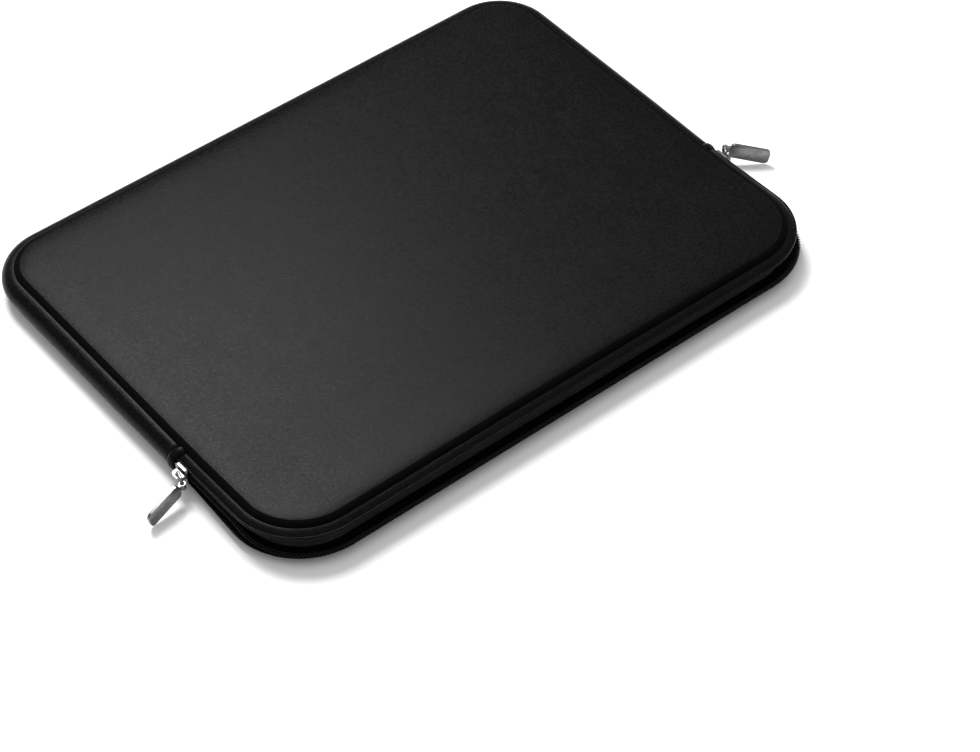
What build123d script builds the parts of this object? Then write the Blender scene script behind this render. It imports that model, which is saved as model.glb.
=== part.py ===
"""Padded zip sleeve for a 13.3-inch notebook, lying flat with its mouth open.

Frame: millimetres, +Z up, the sleeve's underside on z = 0, the middle of its plan at x = y = 0.
The long sides run along X. The mouth is the long side at -Y, the closed back is at +Y.
"""
from build123d import *
from math import cos, pi, radians, sin
import os

# ---- driving dimensions ------------------------------------------------------------------------
SEAM_HALF_LENGTH = 173.5      # centre to the panel seam, along X
SEAM_HALF_WIDTH = 129.0       # centre to the panel seam, along Y
FRONT_SEAM_RADIUS = 35.0      # plan corner radius of the seam beside the mouth
BACK_SEAM_RADIUS = 26.0       # plan corner radius of the seam at the closed back

NEOPRENE = 3.6                # padded panel thickness
LINING = 1.0                  # plush lining thickness
HEIGHT = 20.5                 # whole sleeve, underside to crown of the top panel
PANEL_EDGE_ROUND = 3.0        # rounding of each panel's outer edge

BAND_RADIUS = 7.0             # the edge band bulges outward as a half tube of this radius
BAND_THICKNESS = 3.0
ZIP_Z = 10.25                 # height of the zip's centre line

HINGE_Y = -57.0               # line where the top panel bends when the mouth opens
SPLIT_GAP = 0.5               # clearance between the two halves of the top panel at that line
MOUTH_LIFT = 2.5              # degrees that the open mouth's upper lip stands up

CUFF_BACK_Y = -39.5           # the rolled hem over each end of the zip
CUFF_FRONT_Y = -44.5
CUFF_STAND_OUT = 0.9          # how far the hem stands proud of the band

LIP_CLEARANCE = 5.0           # centre line of the zip to the edge of each padded lip
TAPE_THICKNESS = 0.7
TAPE_INNER_OFFSET = 2.1       # seam to the tape's inner face
ROW_OFFSET = 1.3              # centre line of the zip to the edge of each row of coils
COIL_HEIGHT = 2.2
COIL_THICKNESS = 1.7
LOWER_LEAN = 40.0             # degrees that the loose lower tape leans outward
LEAN_START_Y = -85.0          # the lower tape leaves the slider upright and leans over by LEAN_END_Y
LEAN_END_Y = -93.5
LEAN_STEPS = 4

SLIDER_Y = -50.0              # both sliders are parked at the ends of the zip
SLIDER_LENGTH = 9.6
SLIDER_HALF_HEIGHT = 4.6
PLATE_THICKNESS = 1.4
PLATE_CORNER_RADIUS = 1.8
INNER_PLATE_OFFSET = 0.4      # seam to the inner face of the slider's inner plate
OUTER_PLATE_OFFSET = 4.9      # seam to the inner face of the slider's outer plate
POST_LENGTH = 3.0
POST_HALF_HEIGHT = 0.7
POST_SETBACK = 0.4            # front end of the plates to the post
POST_BITE = 0.5               # how far the post runs into each plate
CROWN_HALF_LENGTH = 3.6
CROWN_REACH = 4.2
CROWN_WIDTH = 2.2
CROWN_CORNER_RADIUS = 2.6
EYE_RADIUS = 1.25             # clear hole under the crown
EYE_OFFSET = 8.5              # seam to the axis of the link's inner bar

WIRE_RADIUS = 0.8
LINK_LENGTH = 7.0             # between the axes of the link's two bars
LINK_HALF_HEIGHT = 3.4        # zip centre line to the axis of each side arm
LINK_CORNER_RADIUS = 1.6      # bend of the ring's wire, on its axis
TAB_LENGTH = 25.0             # axis of the eye to the end of the tab
TAB_WIDTH = 9.5
TAB_THICKNESS = 1.6
TAB_EYE_RADIUS = 1.8
TAB_EYE_BORE = 1.05
TAB_EYE_HALF_HEIGHT = 1.7
TAB_NECK_MIDDLE = 2.4         # axis of the eye to the middle of the neck
TAB_NECK_LENGTH = 3.0
TAB_NECK = 2.5                # axis of the eye to where the tab reaches its full width
TAB_CORNER_RADIUS = 2.6
TAB_DROOP = 11.0              # degrees that the tab hangs below level

# Headings in plan, in degrees from straight outward, positive towards the mouth.
LEFT_LINK_HEADING = 75.0
LEFT_TAB_HEADING = 13.0
RIGHT_LINK_HEADING = -50.0
RIGHT_TAB_HEADING = 42.0

# ---- sizes worked out from those above ---------------------------------------------------------
TOP_LINING_Z = HEIGHT - NEOPRENE - LINING
BAND_INNER = BAND_RADIUS - BAND_THICKNESS
UPPER_LIP_Z = ZIP_Z + LIP_CLEARANCE
LOWER_LIP_Z = ZIP_Z - LIP_CLEARANCE
TAPE_WIDTH = LIP_CLEARANCE - ROW_OFFSET
TAPE_BACK_Y = CUFF_FRONT_Y - 0.5
FAR = 400.0


# ---- plan outline ------------------------------------------------------------------------------
def outline(outset):
    """The rounded plan of the seam, moved outward by outset."""
    half_x = SEAM_HALF_LENGTH + outset
    half_y = SEAM_HALF_WIDTH + outset
    plan = Rectangle(2 * half_x, 2 * half_y)
    front = plan.vertices().filter_by_position(Axis.Y, -half_y - 1, 0)
    plan = fillet(front, FRONT_SEAM_RADIUS + outset)
    back = plan.vertices().filter_by_position(Axis.Y, half_y - 1, half_y + 1)
    back = back.filter_by(lambda v: abs(abs(v.X) - half_x) < 0.01)
    return fillet(back, BACK_SEAM_RADIUS + outset)


def slab(outset, bottom, top):
    """A plate of the plan outline between two heights."""
    return extrude(Pos(0, 0, bottom) * outline(outset), top - bottom)


def behind(y):
    """Everything on the closed-back side of a plane across the sleeve."""
    return Pos(0, y + FAR / 2, 0) * Box(2 * FAR, FAR, FAR)


def ahead(y):
    """Everything on the mouth side of a plane across the sleeve."""
    return Pos(0, y - FAR / 2, 0) * Box(2 * FAR, FAR, FAR)


# ---- running a section round the seam ----------------------------------------------------------
def section_plane(x, y, heading):
    """Section drawn as (outward distance from the seam, height), travelling clockwise."""
    travel = Vector(cos(heading), sin(heading), 0)
    outward = Vector(-sin(heading), cos(heading), 0)
    return Plane(origin=(x, y, 0), x_dir=outward, z_dir=travel)


def straight(section, x, y, heading, length):
    """The section along a straight stretch of seam."""
    return extrude(section_plane(x, y, heading) * section, length)


def corner(section, x, y, heading, centre):
    """The section round a quarter turn of seam, clockwise about centre."""
    start = section_plane(x, y, heading) * section
    return revolve(start, Axis((centre[0], centre[1], 0), (0, 0, -1)), 90)


def round_back(section, end_y):
    """The section round the closed part of the edge, from one zip end to the other."""
    x, y, r = SEAM_HALF_LENGTH, SEAM_HALF_WIDTH, BACK_SEAM_RADIUS
    side = y - r - end_y
    parts = [
        straight(section, -x, end_y, pi / 2, side),
        corner(section, -x, y - r, pi / 2, (-x + r, y - r)),
        straight(section, -x + r, y, 0, 2 * (x - r)),
        corner(section, x - r, y, 0, (x - r, y - r)),
        straight(section, x, y - r, -pi / 2, side),
    ]
    return parts[0].fuse(*parts[1:]).solid()


def round_mouth(section, end_y, ends=()):
    """The section round the mouth, from right to left, with any end pieces fused on."""
    x, y, r = SEAM_HALF_LENGTH, SEAM_HALF_WIDTH, FRONT_SEAM_RADIUS
    side = end_y - (r - y)
    parts = [
        straight(section, x, end_y, -pi / 2, side),
        corner(section, x, r - y, -pi / 2, (x - r, r - y)),
        straight(section, x - r, -y, pi, 2 * (x - r)),
        corner(section, r - x, -y, pi, (r - x, r - y)),
        straight(section, -x, r - y, pi / 2, side),
    ]
    return parts[0].fuse(*parts[1:], *ends).solid()


def short_run(section, side, back_y, front_y):
    """The section along one short side, between two places on it."""
    if side < 0:
        return straight(section, -SEAM_HALF_LENGTH, front_y, pi / 2, back_y - front_y)
    return straight(section, SEAM_HALF_LENGTH, back_y, -pi / 2, back_y - front_y)


# ---- sections ----------------------------------------------------------------------------------
def half_tube(inner, outer):
    """Half of a round tube, bulging outward from the seam."""
    ring = Pos(0, ZIP_Z) * (Circle(outer) - Circle(inner))
    return ring & (Pos(outer, ZIP_Z) * Rectangle(2 * outer, 4 * outer))


def padded_lip(upper):
    """The padded roll between a panel's seam and its zip tape."""
    middle = UPPER_LIP_Z + BAND_RADIUS if upper else LOWER_LIP_Z - BAND_RADIUS
    keep = Pos(BAND_RADIUS, middle) * Rectangle(2 * BAND_RADIUS, 2 * BAND_RADIUS)
    return half_tube(BAND_INNER, BAND_RADIUS) & keep


def leaning(lean, low, high, near, far):
    """A strip on the lower lip: along the tape low to high, through it near to far."""
    up = Vector(sin(radians(lean)), cos(radians(lean)))
    out = Vector(cos(radians(lean)), -sin(radians(lean)))
    root = Vector(TAPE_INNER_OFFSET, LOWER_LIP_Z + TAPE_THICKNESS * sin(radians(lean)))
    corners = [
        root + up * low + out * near,
        root + up * low + out * far,
        root + up * high + out * far,
        root + up * high + out * near,
    ]
    return make_face(Polyline(*[(c.X, c.Y) for c in corners], close=True))


def lower_tape_section(lean):
    return leaning(lean, 0, TAPE_WIDTH, 0, TAPE_THICKNESS)


def lower_coil_section(lean):
    outer = TAPE_THICKNESS + COIL_THICKNESS
    return leaning(lean, TAPE_WIDTH - COIL_HEIGHT, TAPE_WIDTH, TAPE_THICKNESS, outer)


def upper_tape_section():
    middle = UPPER_LIP_Z - TAPE_WIDTH / 2
    return Pos(TAPE_INNER_OFFSET + TAPE_THICKNESS / 2, middle) * Rectangle(TAPE_THICKNESS, TAPE_WIDTH)


def upper_coil_section():
    middle = ZIP_Z + ROW_OFFSET + COIL_HEIGHT / 2
    near = TAPE_INNER_OFFSET + TAPE_THICKNESS
    return Pos(near + COIL_THICKNESS / 2, middle) * Rectangle(COIL_THICKNESS, COIL_HEIGHT)


# ---- padded panels and linings -----------------------------------------------------------------
def bottom_panel():
    plate = slab(0, 0, NEOPRENE)
    return fillet(plate.faces().sort_by(Axis.Z)[0].edges(), PANEL_EDGE_ROUND)


def top_panel():
    plate = slab(0, HEIGHT - NEOPRENE, HEIGHT)
    return fillet(plate.faces().sort_by(Axis.Z)[-1].edges(), PANEL_EDGE_ROUND)


def top_lining():
    return slab(0, TOP_LINING_Z, TOP_LINING_Z + LINING)


def lifted(piece):
    """A piece of the mouth flap, turned up about the bend line to where it rests."""
    return piece.rotate(Axis((0, HINGE_Y, HEIGHT), (-1, 0, 0)), MOUTH_LIFT)


# ---- zip tapes ---------------------------------------------------------------------------------
def ramp(section, side):
    """The lower strip between standing upright at the slider and leaning over."""
    faces = []
    for step in range(LEAN_STEPS + 1):
        share = step / LEAN_STEPS
        y = LEAN_START_Y + share * (LEAN_END_Y - LEAN_START_Y)
        plane = section_plane(side * SEAM_HALF_LENGTH, y, -side * pi / 2)
        faces.append(plane * section(share * LOWER_LEAN))
    return loft(faces, ruled=True)


def lower_zip_strip(section):
    """Upright through each slider's run-up, then leaning outward round the mouth."""
    ends = []
    for side in (-1, 1):
        ends.append(short_run(section(0), side, TAPE_BACK_Y, LEAN_START_Y))
        ends.append(ramp(section, side))
    return round_mouth(section(LOWER_LEAN), LEAN_END_Y, ends)


# ---- sliders and pulls, drawn for the right-hand side ------------------------------------------
def side_box(out_from, out_to, y_from, y_to, half_height):
    """A block beside the right-hand seam."""
    size = Box(out_to - out_from, y_to - y_from, 2 * half_height)
    middle_x = SEAM_HALF_LENGTH + (out_from + out_to) / 2
    return Pos(middle_x, (y_from + y_to) / 2, ZIP_Z) * size


def slider_plate(offset):
    """One face plate, with rounded corners."""
    half = SLIDER_LENGTH / 2
    end = offset + PLATE_THICKNESS
    plate = side_box(offset, end, SLIDER_Y - half, SLIDER_Y + half, SLIDER_HALF_HEIGHT)
    return fillet(plate.edges().filter_by(Axis.X), PLATE_CORNER_RADIUS)


def slider_crown():
    """The arch on the outer plate that the link hangs from."""
    foot = OUTER_PLATE_OFFSET + PLATE_THICKNESS
    arch = side_box(foot, foot + CROWN_REACH, SLIDER_Y - CROWN_HALF_LENGTH,
                    SLIDER_Y + CROWN_HALF_LENGTH, CROWN_WIDTH / 2)
    far_edges = arch.edges().filter_by(Axis.Z).sort_by(Axis.X)[-2:]
    arch = fillet(far_edges, CROWN_CORNER_RADIUS)
    eye = Pos(SEAM_HALF_LENGTH + EYE_OFFSET, SLIDER_Y, ZIP_Z) * Cylinder(EYE_RADIUS, 2 * CROWN_WIDTH)
    return arch - eye


def slider_body():
    front = SLIDER_Y - SLIDER_LENGTH / 2 + POST_SETBACK
    post = side_box(INNER_PLATE_OFFSET - POST_BITE, OUTER_PLATE_OFFSET + POST_BITE, front,
                    front + POST_LENGTH, POST_HALF_HEIGHT)
    inner = slider_plate(INNER_PLATE_OFFSET - PLATE_THICKNESS)
    body = slider_plate(OUTER_PLATE_OFFSET) + inner + post + slider_crown()
    return body.solid()


def turned(piece, x, y, heading):
    """A piece drawn along +X from the origin, set at (x, y) and turned towards the mouth."""
    return Pos(x, y, ZIP_Z) * Rot(0, 0, -heading) * piece


def link_end(heading):
    """Plan position of the axis of the link's outer bar."""
    x = SEAM_HALF_LENGTH + EYE_OFFSET + LINK_LENGTH * cos(radians(heading))
    y = SLIDER_Y - LINK_LENGTH * sin(radians(heading))
    return x, y


def pull_link(heading):
    """A rounded ring of wire standing on edge."""
    bend = LINK_CORNER_RADIUS
    bar = Cylinder(WIRE_RADIUS, 2 * (LINK_HALF_HEIGHT - bend))
    arm = Rot(0, 90, 0) * Cylinder(WIRE_RADIUS, LINK_LENGTH - 2 * bend)
    knee = Rot(90, 0, 0) * Torus(bend, WIRE_RADIUS)
    ring = bar + Pos(LINK_LENGTH, 0, 0) * bar
    for z in (-1, 1):
        ring += Pos(LINK_LENGTH / 2, 0, z * LINK_HALF_HEIGHT) * arm
        for x, away in ((0, -1), (LINK_LENGTH, 1)):
            quarter = Pos(away * bend, 0, z * bend) * Box(2 * bend, 4 * WIRE_RADIUS, 2 * bend)
            corner_x = x - away * bend
            corner_z = z * (LINK_HALF_HEIGHT - bend)
            ring += Pos(corner_x, 0, corner_z) * (knee & quarter)
    return turned(ring.solid(), SEAM_HALF_LENGTH + EYE_OFFSET, SLIDER_Y, heading)


def pull_tab(link_heading, heading):
    """A flat rounded plate on a rolled eye, standing on edge and drooping a little."""
    length = TAB_LENGTH - TAB_NECK
    blade = Box(length, TAB_THICKNESS, TAB_WIDTH)
    blade = fillet(blade.edges().filter_by(Axis.Y), TAB_CORNER_RADIUS)
    blade = Pos(TAB_NECK + length / 2, 0, 0) * blade
    blade = Rot(0, TAB_DROOP, 0) * blade
    neck = Box(TAB_NECK_LENGTH, TAB_THICKNESS, 2 * TAB_EYE_HALF_HEIGHT)
    neck = Pos(TAB_NECK_MIDDLE, 0, 0) * neck
    eye = Cylinder(TAB_EYE_RADIUS, 2 * TAB_EYE_HALF_HEIGHT)
    tab = blade + neck + eye - Cylinder(TAB_EYE_BORE, 4 * TAB_EYE_HALF_HEIGHT)
    x, y = link_end(link_heading)
    return turned(tab.solid(), x, y, heading)


def on_left(piece):
    return piece.mirror(Plane.YZ)


# ---- the whole sleeve --------------------------------------------------------------------------
def shell_nodes():
    """The body of the sleeve, with the fixed half of the top panel."""
    upper = padded_lip(True)
    cuff = half_tube(BAND_INNER, BAND_RADIUS + CUFF_STAND_OUT)
    nodes = {
        "bottom_panel": bottom_panel(),
        "bottom_lining": slab(0, NEOPRENE, NEOPRENE + LINING),
        "top_panel_rear": top_panel() & behind(HINGE_Y),
        "top_lining_rear": top_lining() & behind(HINGE_Y),
        "side_band": round_back(half_tube(BAND_INNER, BAND_RADIUS), CUFF_BACK_Y),
        "band_lining": round_back(half_tube(BAND_INNER - LINING, BAND_INNER), CUFF_BACK_Y),
        "lower_lip": round_mouth(padded_lip(False), CUFF_FRONT_Y),
        "zip_tape_lower": lower_zip_strip(lower_tape_section),
        "zip_coil_lower": lower_zip_strip(lower_coil_section),
    }
    for side, name in ((-1, "left"), (1, "right")):
        nodes["zip_cuff_" + name] = short_run(cuff, side, CUFF_BACK_Y, CUFF_FRONT_Y)
        nodes["upper_lip_rear_" + name] = short_run(upper, side, CUFF_FRONT_Y, HINGE_Y)
    return nodes


def flap_nodes():
    """The front of the top panel with the upper half of the zip."""
    front = HINGE_Y - SPLIT_GAP
    return {
        "top_panel_front": lifted(top_panel() & ahead(front)),
        "top_lining_front": lifted(top_lining() & ahead(front)),
        "upper_lip_front": lifted(round_mouth(padded_lip(True), front)),
        "zip_tape_upper": lifted(round_mouth(upper_tape_section(), TAPE_BACK_Y)),
        "zip_coil_upper": lifted(round_mouth(upper_coil_section(), TAPE_BACK_Y)),
    }


def slider_nodes():
    return {
        "slider_body_right": slider_body(),
        "pull_link_right": pull_link(RIGHT_LINK_HEADING),
        "pull_tab_right": pull_tab(RIGHT_LINK_HEADING, RIGHT_TAB_HEADING),
        "slider_body_left": on_left(slider_body()),
        "pull_link_left": on_left(pull_link(LEFT_LINK_HEADING)),
        "pull_tab_left": on_left(pull_tab(LEFT_LINK_HEADING, LEFT_TAB_HEADING)),
    }


os.makedirs("parts", exist_ok=True)
for node, shape in {**shell_nodes(), **flap_nodes(), **slider_nodes()}.items():
    export_step(shape, f"parts/{node}.step")
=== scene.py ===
"""Looks of the padded zip sleeve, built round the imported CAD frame. Lengths are in metres."""
import bpy
import math
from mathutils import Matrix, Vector


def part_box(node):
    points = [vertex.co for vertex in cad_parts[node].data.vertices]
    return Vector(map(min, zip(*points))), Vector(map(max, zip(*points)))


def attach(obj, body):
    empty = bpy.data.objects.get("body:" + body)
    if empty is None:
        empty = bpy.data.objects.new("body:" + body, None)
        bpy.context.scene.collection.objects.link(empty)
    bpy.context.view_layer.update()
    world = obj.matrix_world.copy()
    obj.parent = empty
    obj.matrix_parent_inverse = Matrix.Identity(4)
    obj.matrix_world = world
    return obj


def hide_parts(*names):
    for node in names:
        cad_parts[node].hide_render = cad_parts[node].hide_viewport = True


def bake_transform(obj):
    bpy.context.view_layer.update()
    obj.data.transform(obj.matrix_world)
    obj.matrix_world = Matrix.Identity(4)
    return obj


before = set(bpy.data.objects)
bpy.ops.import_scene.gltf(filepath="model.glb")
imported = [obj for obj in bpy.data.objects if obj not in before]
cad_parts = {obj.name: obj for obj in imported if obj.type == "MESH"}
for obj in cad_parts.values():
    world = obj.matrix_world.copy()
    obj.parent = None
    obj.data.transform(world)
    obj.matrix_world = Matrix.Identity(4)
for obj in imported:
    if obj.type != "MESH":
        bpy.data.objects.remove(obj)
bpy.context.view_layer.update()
MM = 0.001

# ---- sizes read from the frame -----------------------------------------------------------------
SEAM_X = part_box("bottom_panel")[1].x            # half length of the seam line
SEAM_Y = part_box("bottom_panel")[1].y            # half width of the seam line
BAND_LOW, BAND_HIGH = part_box("side_band")
ZIP_Z = (BAND_LOW.z + BAND_HIGH.z) / 2
BAND_R = (BAND_HIGH.z - BAND_LOW.z) / 2
CUFF_FRONT_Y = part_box("zip_cuff_left")[0].y
CUFF_BACK_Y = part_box("zip_cuff_left")[1].y
HINGE_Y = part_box("top_panel_rear")[0].y
PANEL_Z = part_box("top_panel_rear")[0].z
TOP_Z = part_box("top_panel_rear")[1].z
TOP_LINING_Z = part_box("top_lining_rear")[0].z
BOTTOM_LINING_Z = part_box("bottom_lining")[1].z
PANEL_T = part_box("bottom_panel")[1].z

# ---- sizes of the soft goods -------------------------------------------------------------------
FRONT_R = 35 * MM                # plan corner radii of the seam line
BACK_R = 26 * MM
LIFT_SLOPE = math.tan(math.radians(2.5))   # the open mouth's upper lip stands up by this slope
LIFT_EASE = 8 * MM               # half width of the soft start of that slope
MOUTH_BOW = 0.6 * MM             # the upper lip arches up at mid-length
BAND_INNER_R = 4.2 * MM
LIP_EDGE = 5.0 * MM              # zip centre line to the edge of each lip
LIP_TILT = 0.13                  # the upper lip's roll dips outward by this slope
LIP_TILT_ROOT = 2.6 * MM         # how far inside the seam that dip starts
LOWER_LEAN = math.radians(40)    # the loose lower tape leans outward by this angle
LEAN_START_Y = -85 * MM
LEAN_END_Y = -118 * MM
LOWER_SAG = 0.42                 # how much wider the slack lower lip bulges round the mouth
SAG_START_Y = -47 * MM
LIP_SAG_RUN = 60 * MM            # the lower lip reaches its full width over this length
TAPE_SAG_RUN = 50 * MM           # and the lower tape over this one, from LEAN_START_Y
TOOTH_PITCH = 1.6 * MM
RUN_STEP = 2.2 * MM              # spacing of cross-sections along the lips and tapes

# ---- the seam line -----------------------------------------------------------------------------
FRONT_STRAIGHT_Y = -SEAM_Y + FRONT_R
BACK_STRAIGHT_Y = SEAM_Y - BACK_R
SEAM_RUNS = (
    ("line", (-SEAM_X, FRONT_STRAIGHT_Y), 90, BACK_STRAIGHT_Y - FRONT_STRAIGHT_Y),
    ("arc", (-SEAM_X + BACK_R, BACK_STRAIGHT_Y), 180, BACK_R),
    ("line", (-SEAM_X + BACK_R, SEAM_Y), 0, 2 * (SEAM_X - BACK_R)),
    ("arc", (SEAM_X - BACK_R, BACK_STRAIGHT_Y), 90, BACK_R),
    ("line", (SEAM_X, BACK_STRAIGHT_Y), -90, BACK_STRAIGHT_Y - FRONT_STRAIGHT_Y),
    ("arc", (SEAM_X - FRONT_R, FRONT_STRAIGHT_Y), 0, FRONT_R),
    ("line", (SEAM_X - FRONT_R, -SEAM_Y), 180, 2 * (SEAM_X - FRONT_R)),
    ("arc", (-SEAM_X + FRONT_R, FRONT_STRAIGHT_Y), -90, FRONT_R),
)


def run_length(run):
    return run[3] if run[0] == "line" else run[3] * math.pi / 2


SEAM_LENGTH = sum(run_length(r) for r in SEAM_RUNS)
RIGHT_START = sum(run_length(r) for r in SEAM_RUNS[:4])


def seam_at(s):
    """Point and outward normal at a distance s, clockwise round the seam from the left front."""
    s = s % SEAM_LENGTH
    for kind, start, degrees, size in SEAM_RUNS:
        length = run_length((kind, start, degrees, size))
        if s <= length or (kind, start) == SEAM_RUNS[-1][:2]:
            break
        s -= length
    angle = math.radians(degrees)
    if kind == "line":
        travel = Vector((math.cos(angle), math.sin(angle)))
        return Vector(start) + travel * s, Vector((-travel.y, travel.x))
    normal = Vector((math.cos(angle - s / size), math.sin(angle - s / size)))
    return Vector(start) + normal * size, normal


def left_s(y):
    """Distance round the seam to a place on the left side."""
    return y - FRONT_STRAIGHT_Y


def right_s(y):
    """Distance round the seam to a place on the right side."""
    return RIGHT_START + BACK_STRAIGHT_Y - y


def smooth(t):
    t = min(1.0, max(0.0, t))
    return t * t * (3 - 2 * t)


def mouth_rise(x, y):
    """How far the upper lip's open rest shape stands above flat at a place in plan."""
    ahead = HINGE_Y - y
    if ahead > LIFT_EASE:
        ramp = ahead
    elif ahead < -LIFT_EASE:
        ramp = 0
    else:
        ramp = (ahead + LIFT_EASE) ** 2 / (4 * LIFT_EASE)
    bow = math.cos(min(1.0, abs(x) / SEAM_X) * math.pi / 2) ** 2
    front = smooth(ahead / (SEAM_Y + HINGE_Y))
    return LIFT_SLOPE * ramp + MOUTH_BOW * bow * front


# ---- meshes ------------------------------------------------------------------------------------
def new_object(name, vertices, faces, material, body):
    mesh = bpy.data.meshes.new(name)
    mesh.from_pydata([tuple(v) for v in vertices], [], faces)
    mesh.update()
    mesh.polygons.foreach_set("use_smooth", [True] * len(mesh.polygons))
    piece = bpy.data.objects.new(name, mesh)
    bpy.context.scene.collection.objects.link(piece)
    mesh.materials.append(material)
    if body:
        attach(piece, body)
    return piece


def skin(rings):
    """Vertices and faces of a capped tube through equal rings of points."""
    count = len(rings[0])
    vertices = [p for ring in rings for p in ring]
    faces = []
    for i in range(len(rings) - 1):
        a, b = i * count, (i + 1) * count
        for j in range(count):
            k = (j + 1) % count
            faces.append((a + j, a + k, b + k, b + j))
    faces.append(tuple(range(count - 1, -1, -1)))
    faces.append(tuple(len(vertices) - count + j for j in range(count)))
    return vertices, faces


def run_section(start, end, step, section, rise=False):
    """Rings of a section (outward, height) carried along the seam from start to end."""
    total = end - start
    steps = max(2, round(total / step))
    rings = []
    for i in range(steps + 1):
        share = i / steps
        point, normal = seam_at(start + total * share)
        ring = []
        for out, z in section(share, point):
            p = point + normal * out
            lift = mouth_rise(p.x, p.y) if rise else 0.0
            ring.append(Vector((p.x, p.y, z + lift)))
        rings.append(ring)
    return rings


def arc_points(centre, radius, start, end, count):
    """Points (outward, height) of an arc, angles in degrees from straight outward."""
    points = []
    for i in range(count):
        a = math.radians(start + (end - start) * i / (count - 1))
        points.append((centre[0] + radius * math.cos(a), centre[1] + radius * math.sin(a)))
    return points


# ---- materials ---------------------------------------------------------------------------------
class Nodes:
    """A small helper that adds and joins shader nodes of one material."""

    def __init__(self, name):
        self.material = bpy.data.materials.new(name)
        self.material.use_nodes = True
        self.tree = self.material.node_tree
        self.surface = self.tree.nodes["Principled BSDF"]
        self.place = self.add("ShaderNodeTexCoord").outputs["Object"]

    def add(self, kind, inputs=None, **settings):
        node = self.tree.nodes.new(kind)
        for key, value in settings.items():
            setattr(node, key, value)
        for key, value in (inputs or {}).items():
            if isinstance(value, bpy.types.NodeSocket):
                self.tree.links.new(value, node.inputs[key])
            else:
                node.inputs[key].default_value = value
        return node

    def noise(self, scale, detail=2.0, roughness=0.5, stretch=None):
        place = self.place
        if stretch:
            place = self.add("ShaderNodeMapping", {"Vector": place, "Scale": stretch}).outputs["Vector"]
        inputs = {"Vector": place, "Scale": scale, "Detail": detail, "Roughness": roughness}
        return self.add("ShaderNodeTexNoise", inputs).outputs["Fac"]

    def ramp(self, factor, stops):
        node = self.add("ShaderNodeValToRGB", {"Fac": factor})
        elements = node.color_ramp.elements
        while len(elements) < len(stops):
            elements.new(0.5)
        for element, (position, colour) in zip(elements, stops):
            element.position = position
            element.color = (*colour, 1.0)
        return node.outputs["Color"]

    def math(self, operation, a, b):
        return self.add("ShaderNodeMath", {0: a, 1: b}, operation=operation).outputs[0]

    def bump(self, height, strength, distance, after=None):
        inputs = {"Height": height, "Strength": strength, "Distance": distance}
        if after is not None:
            inputs["Normal"] = after
        return self.add("ShaderNodeBump", inputs).outputs["Normal"]

    def set(self, **values):
        for key, value in values.items():
            socket = self.surface.inputs[key.replace("_", " ")]
            if isinstance(value, bpy.types.NodeSocket):
                self.tree.links.new(value, socket)
            else:
                socket.default_value = value


def grey(value, warm=0.0):
    return (value * (1 + warm), value, value * (1 - warm))


def jersey_material(name, smooth_rough, napped_rough, shade=1.0):
    """Black knitted jersey over neoprene: fine ribs of loops, soft sheen, faint mottling and lint. A
    shade factor below 1 darkens the base colour and the specular level as painted shade.
    """
    n = Nodes(name)
    wales = n.add("ShaderNodeTexWave", {"Vector": n.place, "Scale": 260.0, "Distortion": 1.2,
                                        "Detail": 1.0}, bands_direction="X").outputs["Fac"]
    courses = n.add("ShaderNodeTexWave", {"Vector": n.place, "Scale": 300.0, "Distortion": 1.6,
                                          "Detail": 1.0}, bands_direction="Y").outputs["Fac"]
    loops = n.math("MULTIPLY", wales, courses)
    mottle = n.noise(650.0, 4.0, 0.75)
    cloud = n.noise(60.0, 3.0, 0.6)
    mixed = n.math("ADD", n.math("MULTIPLY", mottle, 0.85), n.math("MULTIPLY", cloud, 0.15))
    # colour scaled by the shade factor: below 1 this is painted shade
    colour = n.ramp(mixed, ((0.3, grey(0.0010 * shade)), (0.5, grey(0.0022 * shade)),
                            (0.72, grey(0.0054 * shade))))
    rough = n.ramp(mixed, ((0.35, grey(smooth_rough)), (0.65, grey(napped_rough))))
    normal = n.bump(loops, 0.25, 0.00015)
    normal = n.bump(mottle, 0.5, 0.0003, normal)
    n.set(Base_Color=colour, Normal=normal, Roughness=rough)
    # specular level scaled by the shade factor: below 1 this is painted shade
    n.surface.inputs["Specular IOR Level"].default_value = 0.045 * shade
    return n.material


def plush_material():
    """Short soft pile inside the sleeve."""
    n = Nodes("plush_lining")
    pile = n.noise(900.0, 3.0, 0.7)
    nap = n.noise(60.0, 2.0)
    colour = n.ramp(nap, ((0.3, grey(0.020)), (0.7, grey(0.034))))
    normal = n.bump(pile, 0.7, 0.0008)
    n.set(Base_Color=colour, Normal=n.bump(nap, 0.3, 0.001, normal), Roughness=0.95,
          Sheen_Weight=0.35, Sheen_Roughness=0.5)
    n.surface.inputs["Specular IOR Level"].default_value = 0.2
    return n.material


def tape_material():
    """Black herringbone-woven zip tape."""
    n = Nodes("zip_tape")
    warp = n.add("ShaderNodeTexWave", {"Vector": n.place, "Scale": 420.0, "Distortion": 0.6},
                 bands_direction="DIAGONAL").outputs["Fac"]
    weft = n.add("ShaderNodeTexWave", {"Vector": n.place, "Scale": 520.0, "Distortion": 0.4},
                 bands_direction="Z").outputs["Fac"]
    weave = n.math("MULTIPLY", warp, weft)
    colour = n.ramp(weave, ((0.1, grey(0.003)), (0.9, grey(0.009))))
    n.set(Base_Color=colour, Normal=n.bump(weave, 0.5, 0.0002), Roughness=0.78, Sheen_Weight=0.02)
    n.surface.inputs["Specular IOR Level"].default_value = 0.12
    return n.material


def coil_material():
    """Dyed nylon monofilament of the zip coil."""
    n = Nodes("zip_coil")
    streak = n.noise(700.0, 2.0)
    colour = n.ramp(streak, ((0.3, grey(0.004)), (0.7, grey(0.008))))
    n.set(Base_Color=colour, Roughness=n.ramp(streak, ((0.2, grey(0.34)), (0.8, grey(0.5)))))
    n.surface.inputs["Specular IOR Level"].default_value = 0.2
    return n.material


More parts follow.
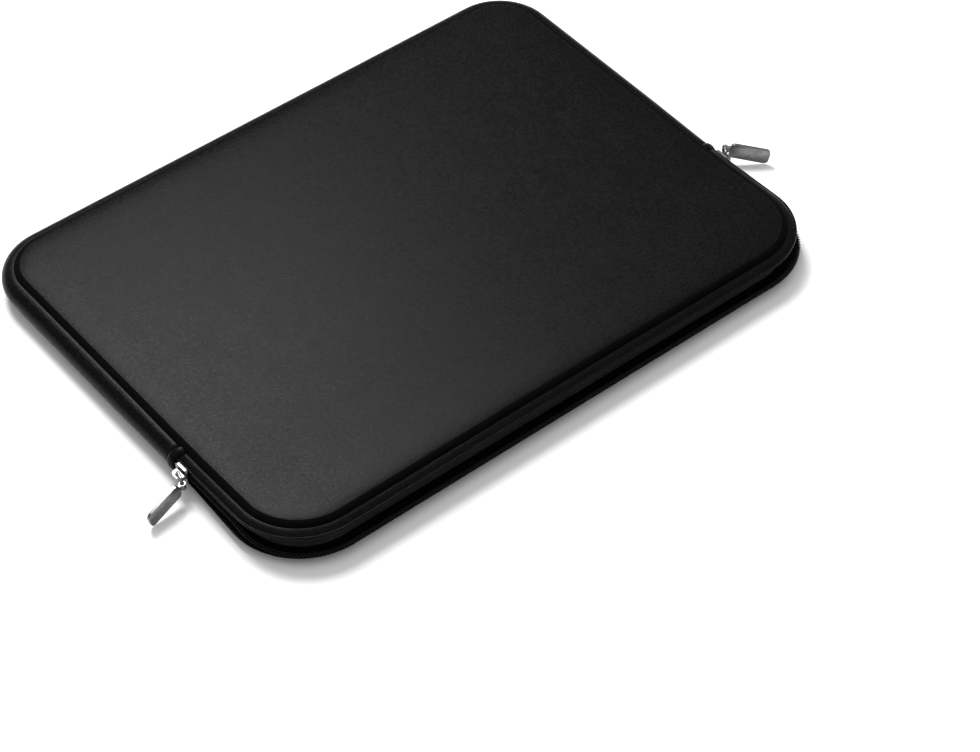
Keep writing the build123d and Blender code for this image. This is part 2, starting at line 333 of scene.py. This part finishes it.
def thread_material():
    """Twisted black sewing thread."""
    n = Nodes("thread")
    twist = n.add("ShaderNodeTexWave", {"Vector": n.place, "Scale": 900.0}, bands_direction="DIAGONAL")
    colour = n.ramp(twist.outputs["Fac"], ((0.2, grey(0.004)), (0.8, grey(0.011))))
    n.set(Base_Color=colour, Normal=n.bump(twist.outputs["Fac"], 0.5, 0.0001), Roughness=0.7)
    n.surface.inputs["Specular IOR Level"].default_value = 0.15
    return n.material


def nickel_material():
    """Satin nickel plate with fine brushing and faint smudges."""
    n = Nodes("nickel")
    brush = n.noise(300.0, 3.0, 0.6, (1.0, 1.0, 9.0))
    smudge = n.noise(220.0, 2.0)
    colour = n.ramp(smudge, ((0.3, grey(0.13, 0.01)), (0.7, grey(0.21, 0.01))))
    rough = n.ramp(brush, ((0.2, grey(0.20)), (0.8, grey(0.34))))
    n.set(Base_Color=colour, Metallic=1.0, Roughness=rough, Normal=n.bump(brush, 0.12, 0.0001))
    return n.material


JERSEY = jersey_material("neoprene_jersey", 0.17, 0.38)
JERSEY_EDGE_NAP_AND_PAINTED_SHADE = jersey_material("neoprene_jersey_edge_nap_and_painted_shade", 0.7, 0.9, 0.5)   # raised, duller nap where sewn, with colour and specular halved as painted shade in the seam groove
PLUSH = plush_material()
TAPE = tape_material()
COIL = coil_material()
THREAD = thread_material()
NICKEL = nickel_material()


# ---- padded panels -----------------------------------------------------------------------------
RING_INSETS = (-0.5, -0.42, -0.25, 0.05, 0.45, 0.9, 1.4, 2.0, 2.6,     # in from the seam, in mm
               3.4, 4.4, 5.8, 7.6, 10, 13, 17, 20.5, 24)
LINING_INSETS = (0.6, 0.9, 2, 5, 10, 17, 24)
NAP_AND_PAINTED_SHADE_RINGS = 9                   # outermost rings, whose nap is raised by the sewing and whose colour is darkened as painted shade
SEAM_STEP = 2.2 * MM
SEAM_OVERHANG = 0.5 * MM         # the padded panel edge bulges this far over the band
EDGE_TURN = 3.0 * MM             # the top panel's padded edge rounds over within this width
EDGE_ROLL = 4.5 * MM             # and then rolls softly to the flat over about this length
EDGE_TURN_SHARE = 0.6            # share of the height that the round edge takes
BOTTOM_TURN = 5.5 * MM           # the bottom panel curves down to the floor within this width
TOP_EDGE_DROP = 2.3 * MM         # crest of the band down to the groove beside the top panel
BOTTOM_EDGE_RISE = 1.6 * MM      # and up to the groove beside the bottom panel
CENTRE_BULGE = 0.7 * MM          # the padded top stands this much higher in the middle


def ring_in_plan(inset):
    """Points round the seam, moved inward."""
    count = round(SEAM_LENGTH / SEAM_STEP)
    points = []
    for i in range(count):
        point, normal = seam_at(SEAM_LENGTH * i / count)
        points.append(point - normal * inset)
    return points


def inner_rings(outer, count):
    """Rings that shrink from the last inset outline to the middle."""
    return [[p * (1 - i / count) for p in outer] for i in range(1, count)]


def crown(inset, deep, full):
    """Height above the seam groove: a padded round edge, then a long soft roll to the flat."""
    inset = max(0.0, inset + SEAM_OVERHANG)
    turn = min(1.0, inset / EDGE_TURN)
    roll = 1 - math.exp(-inset / EDGE_ROLL)
    rounded = math.sqrt(turn * (2 - turn))
    return deep + full * (EDGE_TURN_SHARE * rounded + (1 - EDGE_TURN_SHARE) * roll)


def seam_distance(p):
    """Distance in from the seam of a place in plan."""
    radius = FRONT_R if p.y < 0 else BACK_R
    qx = abs(p.x) - (SEAM_X - radius)
    qy = abs(p.y) - (SEAM_Y - radius)
    outside = math.hypot(max(qx, 0), max(qy, 0))
    return radius - outside - min(0, max(qx, qy))


def panel_plan():
    """Plan points of all rings, from the seam to the middle."""
    rings = [ring_in_plan(inset * MM) for inset in RING_INSETS]
    rings += inner_rings(rings[-1], 34)
    return rings


def panel_mesh(outer_height, inner_height):
    """A closed panel: the outer skin, the inner skin, and a shared edge in the seam groove."""
    rings = panel_plan()
    count = len(rings[0])
    vertices, faces = [], []
    for ring in rings:
        vertices += [(p.x, p.y, outer_height(p)) for p in ring]
    vertices.append((0, 0, outer_height(Vector((0, 0)))))
    inner_plan = [rings[0]] + rings[3::3]
    base = len(vertices)
    for ring in inner_plan[1:]:
        vertices += [(p.x, p.y, inner_height(p)) for p in ring]
    vertices.append((0, 0, inner_height(Vector((0, 0)))))

    def join(a, b, flip):
        for j in range(count):
            k = (j + 1) % count
            quad = (a + j, a + k, b + k, b + j)
            faces.append(quad[::-1] if flip else quad)

    for i in range(len(rings) - 1):
        join(i * count, (i + 1) * count, False)
    apex = len(rings) * count
    for j in range(count):
        faces.append((apex - count + j, apex - count + (j + 1) % count, apex))
    join(0, base, True)
    inner_count = len(inner_plan) - 1
    for i in range(inner_count - 1):
        join(base + i * count, base + (i + 1) * count, True)
    last = base + (inner_count - 1) * count
    for j in range(count):
        faces.append((last + (j + 1) % count, last + j, last + count))
    return vertices, faces


def top_height(p):
    inset = seam_distance(p)
    centre = (1 - (p.x / SEAM_X) ** 2) * (1 - (p.y / SEAM_Y) ** 2)
    deep = ZIP_Z + BAND_R - TOP_EDGE_DROP
    z = crown(inset, deep, TOP_Z - 0.2 * MM - deep)
    return z + CENTRE_BULGE * centre + mouth_rise(p.x, p.y)


def top_inner_height(p):
    return PANEL_Z + mouth_rise(p.x, p.y)


def bottom_height(p):
    inset = seam_distance(p)
    edge = ZIP_Z - BAND_R + BOTTOM_EDGE_RISE
    turn = min(1.0, inset / BOTTOM_TURN)
    return max(0.0, edge * (1 - math.sqrt(max(0.0, 1 - (1 - turn) ** 2))))


def bottom_inner_height(p):
    return PANEL_T


def raise_edge_nap_and_paint_shade(piece):
    """The fabric beside the seam has a raised, duller nap, and its colour and specular are darkened as
    painted shade of the seam groove.
    """
    piece.data.materials.append(JERSEY_EDGE_NAP_AND_PAINTED_SHADE)
    nap_and_painted_shade_faces = NAP_AND_PAINTED_SHADE_RINGS * round(SEAM_LENGTH / SEAM_STEP)
    for polygon in piece.data.polygons[:nap_and_painted_shade_faces]:
        polygon.material_index = 1


def make_top_cover():
    vertices, faces = panel_mesh(top_height, top_inner_height)
    piece = new_object("top_cover", vertices, faces, JERSEY, None)
    raise_edge_nap_and_paint_shade(piece)
    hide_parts("top_panel_rear", "top_panel_front")
    bend_with_mouth(piece)


def bend_with_mouth(piece):
    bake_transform(piece)


def make_bottom_cover():
    vertices, faces = panel_mesh(bottom_height, bottom_inner_height)
    faces = [f[::-1] for f in faces]
    piece = new_object("bottom_cover", vertices, faces, JERSEY, "pocket")
    raise_edge_nap_and_paint_shade(piece)
    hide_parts("bottom_panel")


def make_lining(name, low, high, nodes, lifted):
    """A thin plush sheet just inside the seam."""
    rings = [ring_in_plan(inset * MM) for inset in LINING_INSETS]
    rings += inner_rings(rings[-1], 30)
    count = len(rings[0])
    vertices, faces = [], []
    for z in (low, high):
        for ring in rings:
            vertices += [(p.x, p.y, z + (mouth_rise(p.x, p.y) if lifted else 0)) for p in ring]
        vertices.append((0, 0, z))
    size = len(rings) * count + 1
    for base, flip in ((0, True), (size, False)):
        for i in range(len(rings) - 1):
            for j in range(count):
                k = (j + 1) % count
                a, b = base + i * count, base + (i + 1) * count
                quad = (a + j, a + k, b + k, b + j)
                faces.append(quad[::-1] if flip else quad)
        apex = base + size - 1
        for j in range(count):
            tri = (apex - count + j, apex - count + (j + 1) % count, apex)
            faces.append(tri[::-1] if flip else tri)
    for j in range(count):
        k = (j + 1) % count
        faces.append((j, k, size + k, size + j))
    piece = new_object(name, vertices, faces, PLUSH, None if lifted else "pocket")
    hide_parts(*nodes)
    if lifted:
        bend_with_mouth(piece)


# ---- edge band, cuffs and lips -----------------------------------------------------------------
def band_section(share, point):
    """The half-tube band: it tucks into both seam grooves and pinches in a little at the cuffs."""
    near_end = 1 - smooth(min(share, 1 - share) * 12)
    radius = BAND_R * (1 - 0.05 * near_end)
    centre = (0.0, ZIP_Z)
    outer = arc_points(centre, radius, 112, -104, 32)
    inner = arc_points(centre, BAND_INNER_R, -96, 96, 12)
    return outer + inner


def make_band():
    start, end = left_s(CUFF_BACK_Y), right_s(CUFF_BACK_Y)
    rings = run_section(start, end, 2.5 * MM, band_section)
    vertices, faces = skin(rings)
    piece = new_object("edge_band", vertices, faces, JERSEY, "pocket")
    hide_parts("side_band")


def band_lining_section(share, point):
    centre = (0.0, ZIP_Z)
    outer = arc_points(centre, BAND_INNER_R - 0.05 * MM, 92, -92, 16)
    return outer + arc_points(centre, 3.2 * MM, -92, 92, 12)


def make_band_lining():
    rings = run_section(left_s(CUFF_BACK_Y), right_s(CUFF_BACK_Y), 4 * MM, band_lining_section)
    vertices, faces = skin(rings)
    piece = new_object("edge_band_lining", vertices, faces, PLUSH, "pocket")
    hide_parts("band_lining")


CUFF_BEAD_MIDDLE = 5.9 * MM      # seam line to the middle of the rolled bead
CUFF_BEAD_R = 1.75 * MM
CUFF_OVERLAP = 0.5 * MM          # the bead laps this far over the band and the lips
CUFF_SKEW = 1.2 * MM             # the bead bows back this far at its outermost place


def make_cuff(side, name):
    """The rolled hem over a zip end: a bead bent round the band's half tube."""
    middle_y = (CUFF_BACK_Y + CUFF_FRONT_Y) / 2
    half_width = (CUFF_BACK_Y - CUFF_FRONT_Y) / 2 + CUFF_OVERLAP
    rings = []
    for i in range(33):
        a = math.radians(100 - 200 * i / 32)
        skew = CUFF_SKEW * math.cos(a)
        ring = []
        for j in range(14):
            b = 2 * math.pi * j / 14
            r = CUFF_BEAD_MIDDLE + CUFF_BEAD_R * math.sin(b)
            y = middle_y + skew + half_width * math.cos(b)
            x = side * (SEAM_X + r * math.cos(a))
            ring.append((x, y, ZIP_Z + r * math.sin(a)))
        rings.append(ring)
    vertices, faces = skin(rings)
    if side > 0:
        faces = [f[::-1] for f in faces]
    piece = new_object("cuff_" + name, vertices, faces, JERSEY, "pocket")
    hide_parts("zip_cuff_" + name)


def lip_section(upper):
    """The padded lip: from the seam groove round to a soft edge beside the zip tape."""
    sign = 1 if upper else -1

    def section(share, point):
        centre = (0.0, ZIP_Z)
        outer = arc_points(centre, BAND_R, 112 * sign, 46 * sign, 18)
        if upper:
            outer = [(out, z - LIP_TILT * (out + LIP_TILT_ROOT)) for out, z in outer]
        edge = [(4.7 * MM, ZIP_Z + sign * 4.95 * MM), (4.3 * MM, ZIP_Z + sign * 4.8 * MM),
                (3.6 * MM, ZIP_Z + sign * 4.8 * MM), (2.9 * MM, ZIP_Z + sign * 4.95 * MM)]
        inner = arc_points(centre, 5.2 * MM, 66 * sign, 98 * sign, 6)
        stretch = 1.0 if upper else slack(point, SAG_START_Y, LIP_SAG_RUN)
        return [(out * stretch if out > 0 else out, z) for out, z in outer + edge + inner]

    return section


def make_lip(upper, name, nodes):
    start = right_s(CUFF_FRONT_Y)
    end = SEAM_LENGTH + left_s(CUFF_FRONT_Y)
    rings = run_section(start, end, RUN_STEP, lip_section(upper), rise=upper)
    vertices, faces = skin(rings)
    piece = new_object(name, vertices, faces, JERSEY, None if upper else "pocket")
    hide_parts(*nodes)
    if upper:
        bend_with_mouth(piece)


# ---- zip tapes and coils -----------------------------------------------------------------------
TAPE_T = 0.5 * MM
TAPE_OUT = 2.2 * MM              # seam line to the tape's inner face
TAPE_LOW = 1.3 * MM              # zip centre line to the free edge of each tape
COIL_OUT = 1.25 * MM             # tape's inner face to the middle of the coil
COIL_HALF_T = 0.62 * MM          # the wound coil is an oval of this half thickness
COIL_HALF_W = 1.1 * MM           # and this half width
COIL_SETBACK = 1.05 * MM         # free edge of the tape to the middle of the coil
COIL_WIRE_R = 0.3 * MM
COIL_END_GAP = 0.8 * MM          # the coil starts this far ahead of the cuff


def lean_at(point):
    """How far the loose lower tape leans outward, 0 beside the sliders."""
    return LOWER_LEAN * smooth((LEAN_START_Y - point.y) / (LEAN_START_Y - LEAN_END_Y))


def slack(point, start_y, run):
    """How much wider than the upper lip the slack lower edge stands, 1 beside the sliders."""
    return 1 + LOWER_SAG * smooth((start_y - point.y) / run)


def lower_place(lean, along, out, widen=1.0):
    """A point on the lower tape: along it from the lip, and out from its inner face."""
    up = (math.sin(lean), math.cos(lean))
    across = (math.cos(lean), -math.sin(lean))
    root_z = ZIP_Z - LIP_EDGE + 0.75 * MM * math.sin(lean)
    root = TAPE_OUT * widen * widen
    return (root + up[0] * along + across[0] * out, root_z + up[1] * along + across[1] * out)


def tape_section(upper):
    def section(share, point):
        half = TAPE_T / 2
        if upper:
            high, low = ZIP_Z + LIP_EDGE + 0.6 * MM, ZIP_Z + TAPE_LOW
            mid = TAPE_OUT + half
            return [(mid - half, high), (mid - half, low), (mid, low - 0.12 * MM), (mid + half, low),
                    (mid + half, high)]
        lean = lean_at(point)
        length = LIP_EDGE - TAPE_LOW
        points = [(-0.6 * MM, 0), (length, 0), (length + 0.12 * MM, half), (length, 2 * half),
                  (-0.6 * MM, 2 * half)]
        widen = slack(point, LEAN_START_Y, TAPE_SAG_RUN)
        return [lower_place(lean, along, out, widen) for along, out in points]

    return section


def make_tape(upper):
    name = "upper" if upper else "lower"
    start = right_s(CUFF_FRONT_Y)
    end = SEAM_LENGTH + left_s(CUFF_FRONT_Y)
    rings = run_section(start, end, RUN_STEP, tape_section(upper), rise=upper)
    vertices, faces = skin(rings)
    piece = new_object("tape_" + name, vertices, faces, TAPE, None if upper else "pocket")
    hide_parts("zip_tape_" + name)
    if upper:
        bend_with_mouth(piece)


def coil_point(s, turn, upper):
    """A point of the flattened helix of monofilament at a distance round the seam."""
    point, normal = seam_at(s)
    a = 2 * math.pi * turn
    out = COIL_OUT + COIL_HALF_T * math.cos(a)
    along = LIP_EDGE - TAPE_LOW - COIL_SETBACK + COIL_HALF_W * math.sin(a)
    if upper:
        p = point + normal * (TAPE_OUT + out)
        return Vector((p.x, p.y, ZIP_Z + LIP_EDGE - along + mouth_rise(p.x, p.y)))
    place = lower_place(lean_at(point), along, out, slack(point, LEAN_START_Y, TAPE_SAG_RUN))
    p = point + normal * place[0]
    return Vector((p.x, p.y, place[1]))


def tube(points, radius, sides):
    """Rings of a round tube through points."""
    rings = []
    for i, p in enumerate(points):
        ahead = points[min(i + 1, len(points) - 1)] - points[max(i - 1, 0)]
        ahead.normalize()
        across = ahead.cross(Vector((0, 0, 1)))
        if across.length < 0.05:
            across = ahead.cross(Vector((0, 1, 0)))
        across.normalize()
        up = across.cross(ahead)
        rings.append([p + radius * (across * math.cos(2 * math.pi * j / sides)
                                    + up * math.sin(2 * math.pi * j / sides)) for j in range(sides)])
    return rings


def make_coil(upper):
    name = "upper" if upper else "lower"
    start = right_s(CUFF_FRONT_Y - COIL_END_GAP)
    end = SEAM_LENGTH + left_s(CUFF_FRONT_Y - COIL_END_GAP)
    turns = round((end - start) / TOOTH_PITCH)
    per_turn = 10
    points = []
    for i in range(turns * per_turn + 1):
        turn = i / per_turn
        points.append(coil_point(start + (end - start) * turn / turns, turn, upper))
    vertices, faces = skin(tube(points, COIL_WIRE_R, 6))
    piece = new_object("coil_" + name, vertices, faces, COIL, None if upper else "pocket")
    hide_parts("zip_coil_" + name)
    if upper:
        bend_with_mouth(piece)


# ---- sewing ------------------------------------------------------------------------------------
STITCH_PITCH = 3.2 * MM
STITCH_LENGTH = 2.3 * MM
STITCH_ARCH = 0.22 * MM
STITCH_DIP = 0.12 * MM           # both ends of a stitch dip this far into the cloth
THREAD_R = 0.19 * MM
STITCH_ANGLE = math.radians(50)  # where the row sits on the lip, up from straight outward


def stitch_row(name, start, end, place):
    """A row of lockstitches: short arched lengths of thread that dip into the cloth at both ends."""
    count = round((end - start) / STITCH_PITCH)
    vertices, faces = [], []
    for i in range(count):
        points = []
        for j in range(6):
            share = j / 5
            arch = STITCH_ARCH * math.sin(math.pi * share) - STITCH_DIP
            points.append(place(start + i * STITCH_PITCH + share * STITCH_LENGTH, arch))
        ring_vertices, ring_faces = skin(tube(points, THREAD_R, 6))
        base = len(vertices)
        vertices += ring_vertices
        faces += [tuple(base + k for k in face) for face in ring_faces]
    return new_object(name, vertices, faces, THREAD, None)


def upper_stitch_place(s, arch):
    """Just above the free edge of the upper lip, where it is sewn to the tape."""
    point, normal = seam_at(s)
    radius = BAND_R + arch
    out = radius * math.cos(STITCH_ANGLE)
    p = point + normal * out
    z = ZIP_Z + radius * math.sin(STITCH_ANGLE) - LIP_TILT * (out + LIP_TILT_ROOT)
    return Vector((p.x, p.y, z + mouth_rise(p.x, p.y)))


def make_stitches():
    start = right_s(CUFF_FRONT_Y - 1 * MM)
    end = SEAM_LENGTH + left_s(CUFF_FRONT_Y - 1 * MM)
    bend_with_mouth(stitch_row("lip_stitching", start, end, upper_stitch_place))


# ---- metal parts -------------------------------------------------------------------------------
def finish_metal(node, width):
    """A CAD metal part keeps its shape and gets eased edges and nickel."""
    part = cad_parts[node]
    part.data.materials.clear()
    part.data.materials.append(NICKEL)
    weld = part.modifiers.new("weld", "WELD")
    weld.merge_threshold = 0.01 * MM
    bevel = part.modifiers.new("eased edges", "BEVEL")
    bevel.width = width
    bevel.segments = 3
    bevel.limit_method = "ANGLE"
    bevel.angle_limit = math.radians(35)
    part.data.polygons.foreach_set("use_smooth", [True] * len(part.data.polygons))


# ---- stage -------------------------------------------------------------------------------------
def make_floor():
    n = Nodes("paper_floor")
    grain = n.noise(3.0, 2.0)
    n.set(Base_Color=n.ramp(grain, ((0.3, grey(0.90)), (0.7, grey(0.92)))), Roughness=0.9)
    n.surface.inputs["Specular IOR Level"].default_value = 0.0
    size = 6.0
    corners = [(-size, -size, 0), (size, -size, 0), (size, size, 0), (-size, size, 0)]
    floor = new_object("floor", corners, [(0, 1, 2, 3)], n.material, None)


def make_light(name, place, target, size, power):
    data = bpy.data.lights.new(name, "AREA")
    data.shape = "RECTANGLE"
    data.size, data.size_y = size
    data.energy = power
    lamp = bpy.data.objects.new(name, data)
    bpy.context.scene.collection.objects.link(lamp)
    lamp.location = place
    lamp.rotation_euler = (Vector(target) - Vector(place)).to_track_quat("-Z", "Y").to_euler()


def make_world(horizon, zenith):
    """A soft studio dome, dimmer low down than overhead."""
    world = bpy.data.worlds.new("studio")
    world.use_nodes = True
    tree = world.node_tree
    place = tree.nodes.new("ShaderNodeTexCoord")
    split = tree.nodes.new("ShaderNodeSeparateXYZ")
    grade = tree.nodes.new("ShaderNodeMapRange")
    grade.inputs["To Min"].default_value = horizon
    grade.inputs["To Max"].default_value = zenith
    background = tree.nodes["Background"]
    background.inputs["Color"].default_value = (1, 1, 1, 1)
    tree.links.new(place.outputs["Generated"], split.inputs[0])
    tree.links.new(split.outputs["Z"], grade.inputs["Value"])
    tree.links.new(grade.outputs["Result"], background.inputs["Strength"])
    bpy.context.scene.world = world


def make_camera():
    azimuth, elevation = math.radians(-39.13), math.radians(47.13)
    back = Vector((math.sin(azimuth) * math.cos(elevation), -math.cos(azimuth) * math.cos(elevation),
                   math.sin(elevation)))
    data = bpy.data.cameras.new("camera")
    data.sensor_width = 36.0
    data.lens = 104.1
    data.clip_start, data.clip_end = 0.05, 20.0
    camera = bpy.data.objects.new("camera", data)
    bpy.context.scene.collection.objects.link(camera)
    camera.location = (-0.6383, -0.8542, 1.0645)
    camera.rotation_mode = "QUATERNION"
    camera.rotation_quaternion = (-back).to_track_quat("-Z", "Y")
    bpy.context.scene.camera = camera


# ---- the whole scene ---------------------------------------------------------------------------
make_top_cover()
make_bottom_cover()
make_lining("top_lining", TOP_LINING_Z, PANEL_Z, ("top_lining_rear", "top_lining_front"), True)
make_lining("base_lining", PANEL_T, BOTTOM_LINING_Z, ("bottom_lining",), False)
make_band()
make_band_lining()
for side, name in ((-1, "left"), (1, "right")):
    make_cuff(side, name)
make_lip(True, "upper_lip", ("upper_lip_rear_left", "upper_lip_rear_right", "upper_lip_front"))
make_lip(False, "mouth_lower_lip", ("lower_lip",))
for upper in (True, False):
    make_tape(upper)
    make_coil(upper)
make_stitches()
for side in ("left", "right"):
    finish_metal("slider_body_" + side, 0.3 * MM)
    finish_metal("pull_link_" + side, 0.05 * MM)
    finish_metal("pull_tab_" + side, 0.3 * MM)

make_floor()
make_world(0.18, 0.95)
make_light("key", (0.13, 0.64, 1.0), (-0.05, 0, 0), (0.55, 0.5), 21)
make_camera()
bpy.context.scene.view_settings.view_transform = "Standard"
